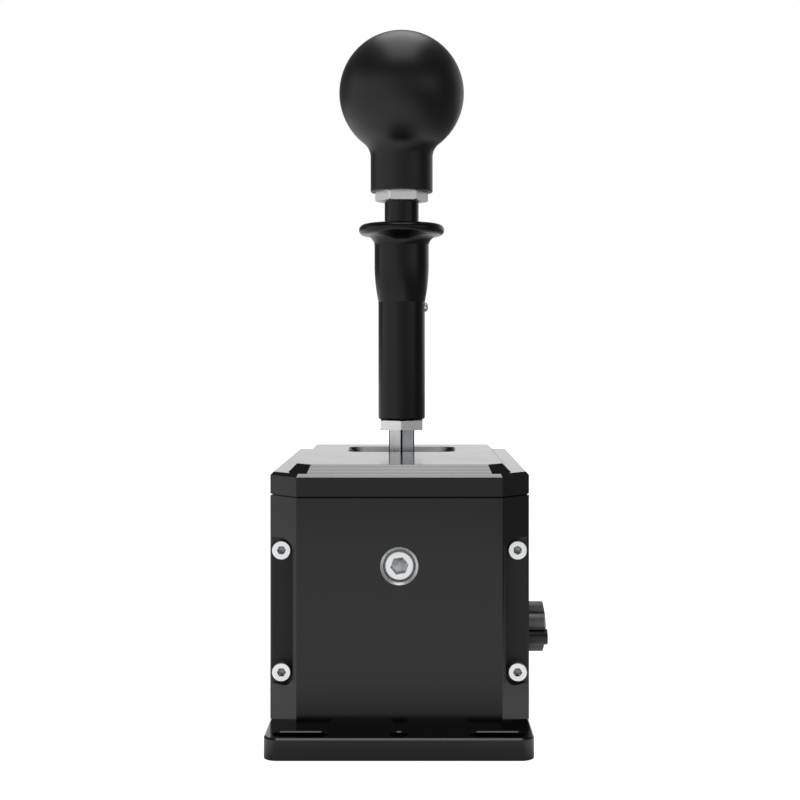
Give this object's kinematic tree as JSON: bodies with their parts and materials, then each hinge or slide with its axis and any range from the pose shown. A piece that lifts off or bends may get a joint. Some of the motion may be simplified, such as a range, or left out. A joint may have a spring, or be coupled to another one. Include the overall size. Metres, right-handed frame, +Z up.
{
  "type": "gear shifter",
  "caption": "Desk or rig gear shifter: chamfered box on a slotted base, gimballed lever with lift collar and ball knob, detent screw in front and star knob on the side.",
  "frame": {"origin": "middle of the base plate's underside", "axes": "+Z up, the front with the detent screw faces -Y, the star knob is on +X"},
  "size_m": [0.1114, 0.16, 0.2858],
  "materials": {
    "black_anodised": "satin black anodised",
    "satin_black_plastic": "satin moulded",
    "black_nylon": "fine moulded texture",
    "bright_steel": "bright zinc plated",
    "spring_steel": "drawn wire",
    "plain_aluminium": "machined",
    "bearing_bronze": "turned",
    "circuit_board": "green solder mask",
    "chip_plastic": "moulded",
    "plated_shell": "nickel plated"
  },
  "bodies": {
    "housing": {"base_plate": "black_anodised", "front_plate": "black_anodised", "rear_plate": "black_anodised", "left_side_plate": "black_anodised", "right_side_plate": "black_anodised", "lid": "black_anodised", "plate_screws": "bright_steel", "tie_bolts": "bright_steel", "detent_screw": "bright_steel", "detent_barrel": "plain_aluminium", "barrel_screws": "bright_steel", "detent_spring": "spring_steel", "detent_plunger": "bearing_bronze", "bearing_outer_rings": "bright_steel", "dust_rails": "plain_aluminium", "rail_screws": "bright_steel", "guide_rods": "bright_steel", "left_springs": "spring_steel", "right_springs": "spring_steel", "adjust_bush": "bearing_bronze", "sensor_board": "circuit_board", "board_chips": "chip_plastic", "board_standoffs": "bearing_bronze", "board_screws": "bright_steel", "data_socket": "plated_shell"},
    "shift_cradle": {"cradle": "plain_aluminium", "cradle_axles": "bright_steel", "bearing_inner_rings": "bright_steel", "select_pin": "bright_steel", "cradle_magnet": "plated_shell"},
    "lever": {"lever_hub": "plain_aluminium", "lever_tail": "bright_steel", "lever_rod": "bright_steel", "lower_nut": "bright_steel", "lever_shaft": "black_anodised", "upper_nut": "bright_steel", "knob": "satin_black_plastic", "lift_spring": "spring_steel"},
    "collar": {"lift_collar": "black_anodised", "lift_sleeve": "black_anodised", "collar_screw": "bright_steel"},
    "dust_cover": {"dust_plate": "black_anodised"},
    "yoke": {"select_yoke": "plain_aluminium", "yoke_magnet": "plated_shell"},
    "adjuster": {"adjust_screw": "bright_steel", "star_knob": "black_nylon"},
    "preload": {"preload_plate": "plain_aluminium"}
  },
  "joints": [
    {"name": "shift", "type": "hinge", "parent": "housing", "child": "shift_cradle", "pos_m": [0, 0.017, 0.0674], "axis": [1, 0, 0], "range_deg": [-10, 10]},
    {"name": "select", "type": "hinge", "parent": "shift_cradle", "child": "lever", "pos_m": [0, 0.017, 0.0674], "axis": [0, 1, 0], "range_deg": [-8, 8], "stiffness_Nm_per_rad": 6, "deforming": ["left_springs", "right_springs"]},
    {"name": "collar_lift", "type": "slide", "parent": "lever", "child": "collar", "axis": [0, 0, 1], "range_m": [0, 0.008], "stiffness_N_per_m": 300, "springref_m": -0.01, "deforming": ["lift_spring"]},
    {"name": "dust_slide", "type": "slide", "parent": "housing", "child": "dust_cover", "axis": [0, 1, 0], "range_m": [-0.006, 0.006]},
    {"name": "yoke_slide", "type": "slide", "parent": "housing", "child": "yoke", "axis": [1, 0, 0], "range_m": [-0.0055, 0.0055]},
    {"name": "knob_turn", "type": "hinge", "parent": "housing", "child": "adjuster", "pos_m": [0.05, 0.017, 0.0284], "axis": [1, 0, 0], "range_deg": [0, 684], "deforming": ["right_springs"]},
    {"name": "preload_slide", "type": "slide", "parent": "housing", "child": "preload", "axis": [-1, 0, 0], "range_m": [0, 0.004]}
  ],
  "couplings": [
    {"joint": "dust_slide", "follows": "shift", "m_per_rad": -0.0332},
    {"joint": "yoke_slide", "follows": "select", "m_per_rad": -0.039},
    {"joint": "preload_slide", "follows": "knob_turn", "m_per_rad": 0.00031831}
  ]
}
